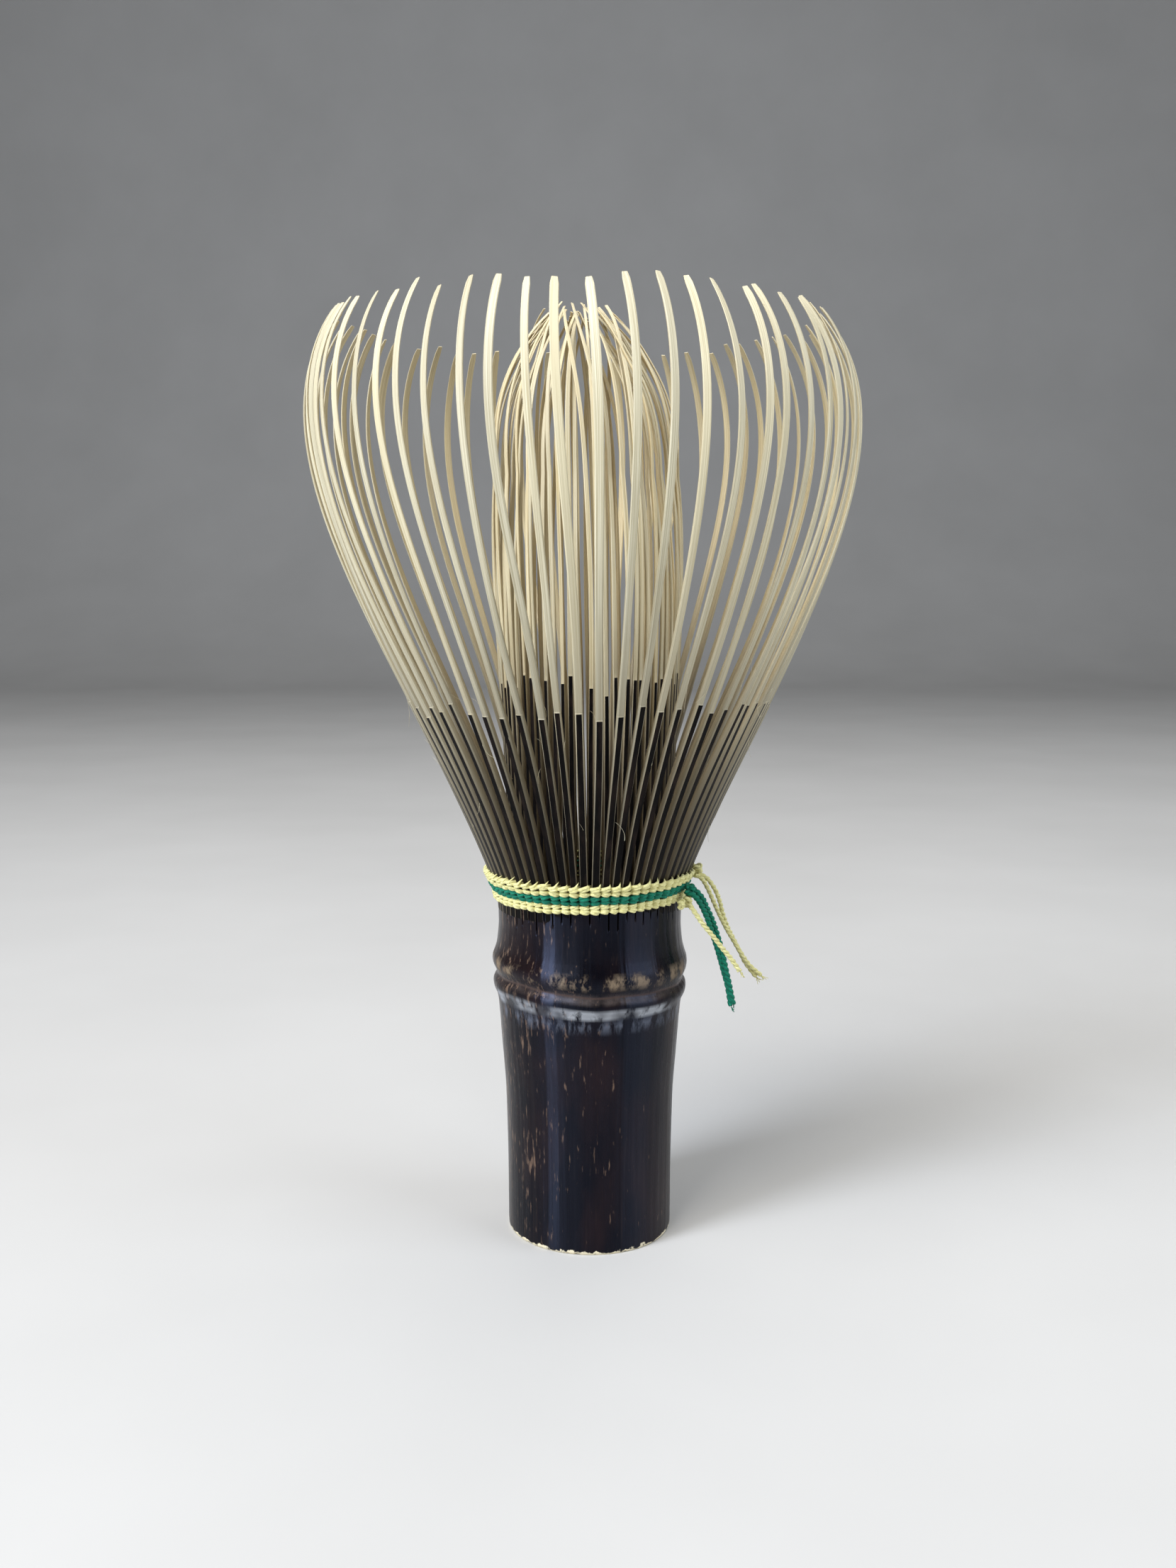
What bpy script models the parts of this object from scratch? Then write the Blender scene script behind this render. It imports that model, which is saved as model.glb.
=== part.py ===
"""Bamboo tea whisk (chasen), standing upright on its handle. Metres, +Z up, front at -Y.

One length of black bamboo culm makes the handle and every tine. The culm is split into
groups; each group gives four broad outer tines, which flex where the lashing holds them,
and four thin inner tines, which gather to a bud. Three lashing threads circle the outer
tines just above the handle's waist and are tied off at the +X side.
"""
import math
from collections import namedtuple

import bmesh
import bpy
from mathutils import Matrix, Vector

MM = 0.001

# A tine's outer face is a cubic curve of (radius, height), root to tip. Widths across it,
# thicknesses through it and the curve are in millimetres; splay is in radians.
Tine = namedtuple("Tine", "course widths thicknesses splay")

# Driving dimensions
GROUPS = 16                        # splits of the culm
TINES_PER_GROUP = 4
GAP = 0.3                          # millimetres between pieces that touch on the real whisk
SPLIT_HEIGHT = 39.1 * MM           # bottom of the slots between the tines
CROWN_TOP = 44.3                   # millimetres; the outer tines start to flex a gap above it
LEAN_START = 60.0 * MM             # the head leans to -X above this height
LEAN_RATE = 0.5                    # metres sideways for each square metre of height above it
SPLAY_START = 50.0 * MM            # outer tines swing towards the two sides between these heights
SPLAY_END = 100.0 * MM

OUTER = Tine(
    course=((12.15, CROWN_TOP + GAP), (20.5, 66.8), (41.2, 95.2), (27.9, 110.4)),
    widths=(0.78, 0.95, 1.0, 0.92),
    thicknesses=(0.85, 0.85, 0.45, 0.3),
    splay=0.1,
)
INNER = Tine(
    course=((10.1, 39.3), (9.0, 69.9), (16.8, 96.7), (2.9, 111.4)),
    widths=(0.5, 0.5, 0.45, 0.22),
    thicknesses=(0.75, 0.5, 0.35, 0.2),
    splay=0.0,
)

TINE_STEPS = 7                     # lengths that a tine's curve is cut into
FOOT_SHARE = 0.014                 # of the curve, taken by the strip that joins a group
GROUP_ANGLE = 2 * math.pi / GROUPS
TINE_ANGLE = math.radians(5.4)     # between neighbours in one group
CROWN_SLOT_WIDTH = 0.32 * MM
CROWN_SLOT_REACH = (9.9 * MM, 13.5 * MM)
CROWN_SLOT_TOP = 46.3 * MM
ROUND_STEPS = 2 * GROUPS           # facets round the handle and the lashing

# Culm outline, (radius, height) in millimetres: crown and waist, node, grip, base
CULM_OUTSIDE = (
    (12.0, CROWN_TOP), (11.45, 43.2), (11.2, 41.5), (11.15, 38.7), (11.3, 36.8),
    (11.65, 35.2), (11.95, 34.2), (11.9, 33.4), (11.6, 32.5), (11.4, 32.0),
    (11.6, 31.5), (11.85, 30.9), (11.75, 30.1), (11.35, 29.4), (11.05, 27.0),
    (10.75, 23.0), (10.35, 18.0), (10.15, 9.5), (10.1, 0.4), (9.8, 0.0),
)
CULM_INSIDE_TOP = (
    (0.0, 32.6), (8.0, 32.6), (8.7, 33.4), (9.0, 38.8), (10.45, 38.8),
    (10.5, 41.5), (10.75, 43.2), (11.3, CROWN_TOP),
)
CULM_BORE = ((7.6, 0.0), (7.4, 0.4), (7.6, 30.4), (7.1, 31.2), (0.0, 31.2))

THREAD_THICKNESS = 0.55
THREAD_SHOULDER = 0.75             # share of the thickness where a band starts to round over
# Each thread's finish, and the tines' outer face at the bottom and top of its two rows
BANDS = {
    "lashing_lower_yellow": ("thread_yellow", (11.3, 42.0), (11.5, 43.0)),
    "lashing_green": ("thread_green", (11.6, 43.3), (12.1, 44.2)),
    "lashing_upper_yellow": ("thread_yellow", (12.25, 44.5), (12.65, 45.5)),
}
# Finish, azimuth in degrees, distance from the axis, height and radius in millimetres
KNOTS = {
    "knot_lower_yellow": ("thread_yellow", 66.0, 12.9, 42.2, 0.6),
    "knot_green": ("thread_green", 70.0, 13.8, 43.6, 0.65),
    "knot_upper_yellow": ("thread_yellow", 84.0, 14.2, 45.1, 0.7),
}
# Finish, radius and route in millimetres, from just below the knot to the cut end
TAILS = {
    "tail_upper_yellow": ("thread_yellow", 0.28, (
        (15.0, -1.3, 43.3), (15.5, -0.9, 41.9), (15.9, -0.4, 40.4), (16.5, 0.2, 38.9),
        (17.3, 0.7, 37.3), (18.1, 1.0, 35.5), (19.0, 1.2, 33.7), (20.0, 1.4, 32.3),
        (21.3, 1.6, 31.2))),
    "tail_green": ("thread_green", 0.42, (
        (13.5, -4.5, 42.2), (13.9, -4.1, 41.2), (14.5, -3.5, 39.8), (15.1, -3.0, 38.2),
        (15.7, -2.7, 36.3), (16.3, -2.5, 34.3), (16.8, -2.4, 32.2), (17.2, -2.3, 30.2),
        (17.6, -2.2, 28.4))),
    "tail_lower_yellow": ("thread_yellow", 0.28, (
        (12.1, -6.3, 41.1), (12.9, -6.5, 40.0), (13.9, -6.3, 38.8), (15.0, -5.8, 37.4),
        (16.1, -5.3, 36.0), (17.1, -4.9, 34.6), (18.1, -4.6, 33.1))),
}


def clear_scene():
    for old in list(bpy.data.objects):
        bpy.data.objects.remove(old, do_unlink=True)


def collection(name):
    made = bpy.data.collections.new(name)
    bpy.context.scene.collection.children.link(made)
    return made


def material(name, colour, roughness):
    made = bpy.data.materials.new(name)
    made.use_nodes = True
    shader = made.node_tree.nodes["Principled BSDF"]
    shader.inputs["Base Color"].default_value = (*colour, 1.0)
    shader.inputs["Roughness"].default_value = roughness
    shader.inputs["Metallic"].default_value = 0.0
    made.diffuse_color = (*colour, 1.0)
    return made


def add_object(name, data, finish, home):
    made = bpy.data.objects.new(name, data)
    made.data.materials.append(finish)
    home.objects.link(made)
    return made


def lean(height):
    """How far the head has leant towards -X at a height."""
    return LEAN_RATE * max(0.0, height - LEAN_START) ** 2


def splayed(azimuth, height, most):
    """Azimuth of a tine at a height: tines bunch towards the two sides on their way up."""
    share = min(1.0, max(0.0, (height - SPLAY_START) / (SPLAY_END - SPLAY_START)))
    return azimuth + most * share ** 2 * (3 - 2 * share) * math.sin(2 * azimuth)


def outward(azimuth):
    """Level direction away from the axis; azimuth 0 is the front, growing towards +X."""
    return Vector((math.sin(azimuth), -math.cos(azimuth), 0))


def around(azimuth):
    """Level direction along the ring, towards growing azimuth."""
    return Vector((math.cos(azimuth), math.sin(azimuth), 0))


def bezier(points, share):
    """Point and direction on a cubic curve of (radius, height) in metres."""
    p0, p1, p2, p3 = (Vector(point) * MM for point in points)
    rest = 1 - share
    place = rest ** 3 * p0 + 3 * rest ** 2 * share * p1 + 3 * rest * share ** 2 * p2 + share ** 3 * p3
    slope = rest ** 2 * (p1 - p0) + 2 * rest * share * (p2 - p1) + share ** 2 * (p3 - p2)
    return place, slope.normalized()


def along(values, share):
    """Straight-line blend through evenly spaced values, in metres."""
    place = share * (len(values) - 1)
    first = min(int(place), len(values) - 2)
    return MM * (values[first] + (values[first + 1] - values[first]) * (place - first))


def tine_corners(tine, azimuth, share):
    """A tine's cross-section: outer low side, outer high side, inner high side, inner low side."""
    face, slope = bezier(tine.course, share)
    turned = splayed(azimuth, face.y, tine.splay)
    inward = Vector((-slope.y, slope.x)) * along(tine.thicknesses, share)
    half = around(turned) * along(tine.widths, share) / 2
    corners = []
    for profile, side in ((face, -1), (face, 1), (face + inward, 1), (face + inward, -1)):
        corner = outward(turned) * profile.x + half * side
        corner.z = profile.y
        corner.x -= lean(profile.y)
        corners.append(corner)
    return corners


def tine_angles(middle):
    centre = (TINES_PER_GROUP - 1) / 2
    return [middle + (index - centre) * TINE_ANGLE for index in range(TINES_PER_GROUP)]


def fan_mesh(name, tine, middle):
    """Four tines rising from one curved foot: the foot is lofted, then each tine grows from its top."""
    mesh = bpy.data.meshes.new(name)
    shape = bmesh.new()
    columns = []
    for azimuth in tine_angles(middle):
        low = tine_corners(tine, azimuth, 0)
        high = tine_corners(tine, azimuth, FOOT_SHARE)
        for near, far in ((0, 3), (1, 2)):
            columns.append([shape.verts.new(point) for point in (low[near], high[near], high[far], low[far])])
    for index, (first, second) in enumerate(zip(columns, columns[1:])):
        open_sides = {1} if index % 2 == 0 else set()
        for side in {0, 1, 2, 3} - open_sides:
            following = (side + 1) % 4
            shape.faces.new((first[side], first[following], second[following], second[side]))
    shape.faces.new(columns[0])
    shape.faces.new(columns[-1])
    for index, azimuth in enumerate(tine_angles(middle)):
        left, right = columns[2 * index], columns[2 * index + 1]
        ring = [left[1], right[1], right[2], left[2]]
        for step in range(1, TINE_STEPS + 1):
            share = FOOT_SHARE + (1 - FOOT_SHARE) * step / TINE_STEPS
            corners = tine_corners(tine, azimuth, share)
            upper = [shape.verts.new(point) for point in corners]
            for side in range(4):
                following = (side + 1) % 4
                shape.faces.new((ring[side], ring[following], upper[following], upper[side]))
            ring = upper
        shape.faces.new(ring)
    bmesh.ops.recalc_face_normals(shape, faces=shape.faces)
    shape.to_mesh(mesh)
    shape.free()
    return mesh


def screw(target):
    spin = target.modifiers.new("Spin", "SCREW")
    spin.axis = "Z"
    spin.angle = 2 * math.pi
    spin.steps = ROUND_STEPS
    spin.render_steps = ROUND_STEPS
    spin.use_merge_vertices = True
    spin.merge_threshold = 0.00001
    spin.use_smooth_shade = True


def outline_mesh(name, outline, closed):
    """Edges in the XZ plane through (radius, height) points, ready for a Screw modifier."""
    points = [(radius * MM, 0, height * MM) for radius, height in outline]
    edges = [(index, index + 1) for index in range(len(points) - 1)]
    if closed:
        edges.append((len(points) - 1, 0))
    mesh = bpy.data.meshes.new(name)
    mesh.from_pydata(points, edges, [])
    return mesh


def crown_slots(home):
    """Thin upright blades between neighbouring outer tines, kept as the cutter of the crown."""
    mesh = bpy.data.meshes.new("crown_slots")
    shape = bmesh.new()
    inner, outer = CROWN_SLOT_REACH
    middle = Matrix.Translation((0, -(inner + outer) / 2, (SPLIT_HEIGHT + CROWN_SLOT_TOP) / 2))
    size = Matrix.Diagonal((CROWN_SLOT_WIDTH, outer - inner, CROWN_SLOT_TOP - SPLIT_HEIGHT, 1))
    for group in range(GROUPS):
        angles = tine_angles((group + 0.5) * GROUP_ANGLE)
        following = angles[0] + GROUP_ANGLE
        for low, high in zip(angles, angles[1:] + [following]):
            turn = Matrix.Rotation((low + high) / 2, 4, "Z")
            bmesh.ops.create_cube(shape, size=1, matrix=turn @ middle @ size)
    shape.to_mesh(mesh)
    shape.free()
    cutter = bpy.data.objects.new("crown_slots", mesh)
    home.objects.link(cutter)
    cutter.hide_render = True
    cutter.display_type = "WIRE"
    return cutter


def handle(finish, home, cutters):
    outline = CULM_INSIDE_TOP + CULM_OUTSIDE + CULM_BORE
    made = add_object("handle", outline_mesh("handle", outline, closed=False), finish, home)
    screw(made)
    cut = made.modifiers.new("Slots", "BOOLEAN")
    cut.operation = "DIFFERENCE"
    cut.solver = "EXACT"
    cut.object = crown_slots(cutters)


def fans(finish, home):
    """Sixteen outer fans on their flex lines, and sixteen inner fans fixed to the handle."""
    for group in range(GROUPS):
        middle = (group + 0.5) * GROUP_ANGLE
        name = f"outer_tines_{group + 1:02d}"
        mesh = fan_mesh(name, OUTER, middle)
        root, _ = bezier(OUTER.course, FOOT_SHARE / 2)
        flex = outward(middle) * (root.x - along(OUTER.thicknesses, 0) / 2)
        flex.z = root.y
        mesh.transform(Matrix.Translation(-flex))
        made = add_object(name, mesh, finish, home)
        made.location = flex
        name = f"inner_tines_{group + 1:02d}"
        shifted = middle - TINE_ANGLE / 2
        add_object(name, fan_mesh(name, INNER, shifted), finish, home)


def band(name, finish, low, high, home):
    """One thread's two rows as a ring standing a gap clear of the tines."""
    shoulder = GAP + THREAD_THICKNESS * THREAD_SHOULDER
    outer = GAP + THREAD_THICKNESS
    waist = ((low[0] + high[0]) / 2, (low[1] + high[1]) / 2)
    outline = (
        (low[0] + GAP, low[1]), (high[0] + GAP, high[1]), (high[0] + shoulder, high[1]),
        (waist[0] + outer, waist[1]), (low[0] + shoulder, low[1]),
    )
    screw(add_object(name, outline_mesh(name, outline, closed=True), finish, home))


def knot(name, finish, degrees, radius, height, size, home):
    mesh = bpy.data.meshes.new(name)
    shape = bmesh.new()
    bmesh.ops.create_uvsphere(shape, u_segments=12, v_segments=8, radius=size * MM)
    for face in shape.faces:
        face.smooth = True
    shape.to_mesh(mesh)
    shape.free()
    made = add_object(name, mesh, finish, home)
    azimuth = math.radians(degrees)
    made.location = outward(azimuth) * radius * MM + Vector((0, 0, height * MM))
    return made


def tail(name, finish, radius, route, home):
    curve = bpy.data.curves.new(name, "CURVE")
    curve.dimensions = "3D"
    curve.bevel_depth = radius * MM
    curve.bevel_resolution = 2
    curve.use_fill_caps = True
    curve.render_resolution_u = 0
    line = curve.splines.new("POLY")
    line.points.add(len(route) - 1)
    for point, (x, y, z) in zip(line.points, route):
        point.co = (x * MM, y * MM, z * MM, 1)
    add_object(name, curve, finish, home)


def main():
    clear_scene()
    home = collection("bamboo_tea_whisk")
    cutters = collection("cutters")
    finishes = {
        "bamboo_skin": material("bamboo_skin", (0.035, 0.026, 0.022), 0.35),
        "bamboo_flesh": material("bamboo_flesh", (0.64, 0.55, 0.35), 0.55),
        "thread_yellow": material("thread_yellow", (0.80, 0.76, 0.33), 0.8),
        "thread_green": material("thread_green", (0.0, 0.15, 0.10), 0.75),
    }
    handle(finishes["bamboo_skin"], home, cutters)
    fans(finishes["bamboo_flesh"], home)
    for name, (finish, low, high) in BANDS.items():
        band(name, finishes[finish], low, high, home)
    for name, (finish, degrees, radius, height, size) in KNOTS.items():
        knot(name, finishes[finish], degrees, radius, height, size, home)
    for name, (finish, radius, route) in TAILS.items():
        tail(name, finishes[finish], radius, route, home)


main()
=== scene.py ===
"""Looks of the bamboo tea whisk: carved bamboo, woven thread lashing and a plain pale studio."""
import math

import bpy
import numpy as np
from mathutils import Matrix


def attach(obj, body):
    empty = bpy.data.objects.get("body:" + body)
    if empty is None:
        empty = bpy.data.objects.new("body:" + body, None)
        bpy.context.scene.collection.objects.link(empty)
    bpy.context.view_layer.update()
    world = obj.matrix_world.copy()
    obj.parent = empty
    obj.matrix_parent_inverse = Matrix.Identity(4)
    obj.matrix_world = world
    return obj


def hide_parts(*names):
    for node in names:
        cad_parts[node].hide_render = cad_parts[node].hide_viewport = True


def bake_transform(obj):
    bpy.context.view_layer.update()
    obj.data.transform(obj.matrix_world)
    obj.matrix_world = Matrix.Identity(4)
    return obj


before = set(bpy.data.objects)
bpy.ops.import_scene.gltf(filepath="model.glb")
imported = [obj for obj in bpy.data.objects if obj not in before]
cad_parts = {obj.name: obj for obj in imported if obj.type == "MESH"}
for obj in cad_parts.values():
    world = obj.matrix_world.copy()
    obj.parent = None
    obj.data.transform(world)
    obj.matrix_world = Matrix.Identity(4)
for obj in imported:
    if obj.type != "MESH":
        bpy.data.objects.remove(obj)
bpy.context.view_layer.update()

MM = 0.001
rng = np.random.default_rng(64)

# Camera: how far from the handle's axis it stands, how high, and how far it tips down
CAMERA_DISTANCE = 180.8 * MM
CAMERA_HEIGHT = 80.6 * MM
CAMERA_TILT = math.radians(7.9)
CAMERA_LENS = 34.6
CAMERA_SIDE = -0.2 * MM

# The same layout as the CAD part
GROUPS = 16
TINES_PER_GROUP = 4
TINES = GROUPS * TINES_PER_GROUP
GROUP_ANGLE = 2 * math.pi / GROUPS
TINE_ANGLE = math.radians(5.4)
LEAN_START = 60.0 * MM
LEAN_RATE = 0.5
SPLAY = 0.1
SPLAY_START = 50.0 * MM
SPLAY_END = 100.0 * MM
OUTER_COURSE = ((12.15, 44.6), (20.5, 66.8), (41.2, 95.2), (27.9, 110.4))
INNER_COURSE = ((10.1, 39.3), (9.0, 69.9), (16.8, 96.7), (2.9, 111.4))
CROWN_FACE = ((11.15, 40.6), (11.2, 41.5), (11.35, 42.6), (11.7, 43.7))

# Tines, root to tip, in millimetres; a face share is the outer face's half width over the tine's width
OUTER_WIDTHS = (0.78, 0.8, 0.78, 0.85, 0.88, 0.8)
OUTER_THICKNESSES = (0.9, 0.92, 0.5, 0.4, 0.35, 0.28)
INNER_WIDTHS = (0.55, 0.55, 0.52, 0.52, 0.45, 0.32)
INNER_THICKNESSES = (0.7, 0.6, 0.42, 0.32, 0.26, 0.16)
OUTER_FACE_SHARES = (0.44, 0.37, 0.33, 0.36, 0.4, 0.42)
INNER_FACE_SHARES = (0.45, 0.42, 0.36, 0.38, 0.4, 0.4)
OUTER_SKIN_TOP = 66.0 * MM
INNER_SKIN_TOP = 68.4 * MM
SKIN_STEP = 0.09 * MM
SKIN_END_GAP = 0.0012              # the step's length, as a share of the tine's course
STATIONS = 64
CONTROL_COUNT = 6                  # entries in each of the six tables above
BACK_CORNERS = [3, 4, 5, 6]        # of a section's eight, the ones that face the axis
INNER_SETBACKS = (0.0, 0.9, 0.3, 1.6)   # towards the axis, for a fan's four inner tines

# Painted shade: the flesh pales out of its shaded colour from a height this far below the skin's end,
# over this length
OUTER_SHADE_FADE = (20 * MM, 44 * MM)
INNER_SHADE_FADE = (16 * MM, 26 * MM)

# How unevenly the tines grow: standard deviations, in millimetres, radians or shares of the whole
OUTER_SKIN_SPREAD = 0.55
OUTER_RADIUS_SPREAD = 0.35
OUTER_DRIFT_SPREAD = 0.42
OUTER_ROLL_SPREAD = 0.16
INNER_SKIN_SPREAD = 0.5
INNER_WANDER_SPREAD = 0.35
INNER_AZIMUTH_SPREAD = 0.055
INNER_SWIRL_SPREAD = 1.2
INNER_ROLL_SPREAD = 0.35

SEED_STRIDE = 7.3                  # shift of the UVs along a sweep, for one unit of its seed

# Lashing: each row's height, the tines' outer face there, and the thread that makes it
ROWS = (
    ("lashing_lower_yellow", 42.3, 11.3), ("lashing_lower_yellow", 42.85, 11.4),
    ("lashing_green", 43.4, 11.55), ("lashing_green", 43.95, 11.85),
    ("lashing_upper_yellow", 44.5, 12.1), ("lashing_upper_yellow", 45.1, 12.4),
)
TINE_DEPTH = 0.85
STRAND_RADIUS = 0.3
LASHING_TILT = 0.12                # how far the lashing rises and falls round the whisk
LASHING_TILT_START = 0.4           # azimuth in radians where it crosses its mean height
PLY_SHARE = 0.62                   # of a strand's radius
STEPS_PER_TINE = 14
FIBRE_RADIUS = 0.035

# Edges sharper than this, in degrees, aren't smoothed
TINE_SHARP_ANGLE = 28
CULM_SHARP_ANGLE = 60

# Thread ends: each strand's points from knot to cut end and its radius, in millimetres
THREAD_ENDS = {
    "upper_yellow": (
        (((12.7, -2.2, 44.8), (13.6, -2.0, 44.2), (14.4, -1.6, 42.8), (15.1, -1.2, 41.2),
          (15.9, -0.5, 39.4), (16.8, 0.2, 37.6), (17.7, 0.8, 36.0), (18.7, 1.1, 34.3),
          (19.8, 1.3, 32.7), (21.3, 1.5, 31.3)), 0.3),
        (((12.8, -1.8, 44.9), (14.1, -1.5, 44.3), (15.1, -1.2, 43.0), (15.8, -0.8, 41.4),
          (16.3, -0.1, 39.6), (16.9, 0.5, 37.9), (17.7, 1.3, 36.2), (18.6, 1.6, 34.4),
          (19.4, 1.7, 32.8), (20.7, 1.6, 31.1)), 0.3)),
    "green": (
        (((11.4, -5.4, 43.9), (12.4, -5.2, 43.6), (13.4, -4.8, 42.5), (14.1, -4.2, 41.0),
          (14.8, -3.7, 39.4), (15.4, -3.2, 37.6), (16.0, -2.9, 35.6), (16.5, -2.7, 33.4),
          (17.0, -2.6, 31.2), (17.5, -2.5, 28.8)), 0.37),
        (((11.3, -5.6, 43.4), (12.3, -5.6, 43.0), (13.1, -5.2, 42.0), (13.8, -4.7, 40.6),
          (14.4, -4.1, 39.0), (15.0, -3.5, 37.2), (15.6, -2.9, 35.3), (16.2, -2.4, 33.2),
          (16.8, -2.2, 31.0), (17.2, -2.5, 28.6)), 0.37)),
    "lower_yellow": (
        (((11.2, -5.7, 42.3), (11.9, -6.2, 41.8), (12.7, -6.6, 40.7), (13.7, -6.4, 39.3),
          (14.8, -5.9, 37.9), (15.9, -5.4, 36.4), (17.0, -5.0, 35.0), (18.0, -4.7, 33.5)), 0.32),),
}
END_PITCH = 1.4                    # length of a thread end's full twist
# Knots: centre, half size and strand radius, in millimetres
KNOTS = {
    "upper_yellow": (((13.0, -1.8, 45.3), 0.78, 0.3),),
    "green": (((12.0, -5.0, 43.6), 0.6, 0.28),),
    "lower_yellow": (((11.6, -5.6, 42.3), 0.68, 0.28), ((10.8, -6.9, 42.2), 0.5, 0.26)),
}
KNOT_PITCH = 1.3

# Culm outline, (height, radius) in millimetres, base to crown
CULM = (
    (0.0, 9.95), (0.25, 10.1), (1.0, 10.12), (9.5, 10.15), (18.0, 10.35), (23.0, 10.75),
    (27.0, 11.05), (28.8, 11.2), (29.7, 11.38), (30.4, 11.75), (31.0, 11.86), (31.5, 11.78),
    (31.85, 11.52), (32.1, 11.35), (32.3, 11.32), (32.55, 11.5), (32.9, 11.66), (33.4, 11.88),
    (33.9, 11.96), (34.5, 11.9), (35.2, 11.65), (36.0, 11.42), (36.8, 11.3), (37.8, 11.2),
    (38.7, 11.15), (41.5, 11.2), (42.4, 11.28),
)
NODE_HEIGHT = 32.0
NECK_RADIUS = 11.2
SLOT_BOTTOM = 40.1
SLOT_DEPTH = 0.75
COLUMNS_PER_TINE = 12
# Heights of the culm's rings: (from, to, how many), closest together at the rim and round the node
CULM_ROWS = ((0.0, 0.6, 7), (1.0, 27.0, 18), (27.4, 36.5, 58), (36.8, 42.4, 34))
# (height, radius) in millimetres of the hollow above the septum, top down, and the bore, base up
CULM_HOLLOW = ((41.9, 10.0), (38.9, 9.6), (38.8, 9.05), (33.4, 8.7), (32.7, 8.1), (32.6, 0.2))
CULM_BORE = ((0.0, 7.6), (0.4, 7.4), (30.4, 7.6), (31.2, 7.1), (31.2, 0.2))

# Colours, linear RGB. Straw: pale fibre, deep fibre, painted shade of the flesh below the skin's end
OUTER_STRAW = ((0.77, 0.715, 0.525), (0.43, 0.37, 0.225), (0.185, 0.155, 0.107))
INNER_STRAW = ((0.79, 0.725, 0.515), (0.43, 0.34, 0.175), (0.12, 0.092, 0.06))
WALL_STRAW = ((0.74, 0.66, 0.44), (0.58, 0.48, 0.29), (0.4, 0.33, 0.22))
# Painted shade, darker and browner, on the tines' faces towards the axis
INWARD_SHADE_TINT = (0.66, 0.55, 0.37)
# Tine skin: black, brown stain, lengthwise grain
TINE_SKIN = ((0.0014, 0.001, 0.0012), (0.013, 0.0078, 0.006), (0.045, 0.03, 0.021))
# Handle skin: black, brown clouds, fine streaks, tan flecks, cut rim
CULM_SKIN = ((0.0016, 0.0011, 0.0018), (0.011, 0.005, 0.0045), (0.03, 0.019, 0.014))
FLECK_TAN = (0.14, 0.09, 0.06)
RIM_CREAM = (0.72, 0.64, 0.45)
# Marks round the node: (bottom, top, soft edge) in millimetres, strength and colour
SCARS = ((32.8, 35.1, 0.8), 0.8, (0.22, 0.165, 0.11))
ROOT_DUST = ((31.2, 32.9, 0.5), 0.55, (0.105, 0.085, 0.078))
GROOVE_LINE = ((32.05, 32.45, 0.15), 0.65, (0.065, 0.04, 0.03))
# Painted reflections below the node ridge: a pale bluish one, and a fainter bluish one lower down
PAINTED_SKY_REFLECTION = ((29.2, 30.9, 0.5), 0.66, (0.47, 0.49, 0.52))
FAINT_SKY_REFLECTION = ((27.3, 29.8, 1.2), 0.4, (0.17, 0.19, 0.24))
# Cotton: thread and the shade between its fibres
YELLOW_COTTON = ((0.87, 0.83, 0.44), (0.46, 0.42, 0.14))
GREEN_COTTON = ((0.0, 0.25, 0.145), (0.0, 0.06, 0.037))
FLOOR_GREYS = ((0.445, 0.44, 0.43), (0.475, 0.47, 0.46))

# Studio, in metres and watts: name, position, (width, height), power, colour
SOFTBOXES = (
    ("key", (-0.25, -0.32, 0.62), (0.36, 0.36), 4.8, (1.0, 0.97, 0.92)),
    ("strip", (-0.50, -0.39, 0.36), (0.19, 0.7), 5.9, (0.78, 0.86, 1.0)),
    ("fill", (0.6, -0.26, 0.38), (0.5, 0.5), 3.7, (0.84, 0.91, 1.0)),
    ("top", (0.05, 0.18, 0.62), (0.5, 0.5), 1.9, (1.0, 0.98, 0.95)),
)
LIGHT_TARGET = (0, 0, 0.06)
ROOM_COLOUR = (0.93, 0.94, 0.95, 1)
ROOM_STRENGTH = 0.13
BACKDROP_FRONT = -1.4
BACKDROP_DEPTH = 0.9
BACKDROP_RISE = 1.2
BACKDROP_CORNER = 0.35
BACKDROP_HALF_WIDTH = 1.6


def add_camera():
    data = bpy.data.cameras.new("camera")
    data.lens = CAMERA_LENS
    data.clip_start = 0.005
    camera = bpy.data.objects.new("camera", data)
    camera.location = (CAMERA_SIDE, -CAMERA_DISTANCE, CAMERA_HEIGHT)
    camera.rotation_euler = (math.pi / 2 - CAMERA_TILT, 0, 0)
    bpy.context.scene.collection.objects.link(camera)
    bpy.context.scene.camera = camera
    bpy.context.scene.view_settings.view_transform = "Standard"


# ---------------------------------------------------------------- node materials

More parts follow.
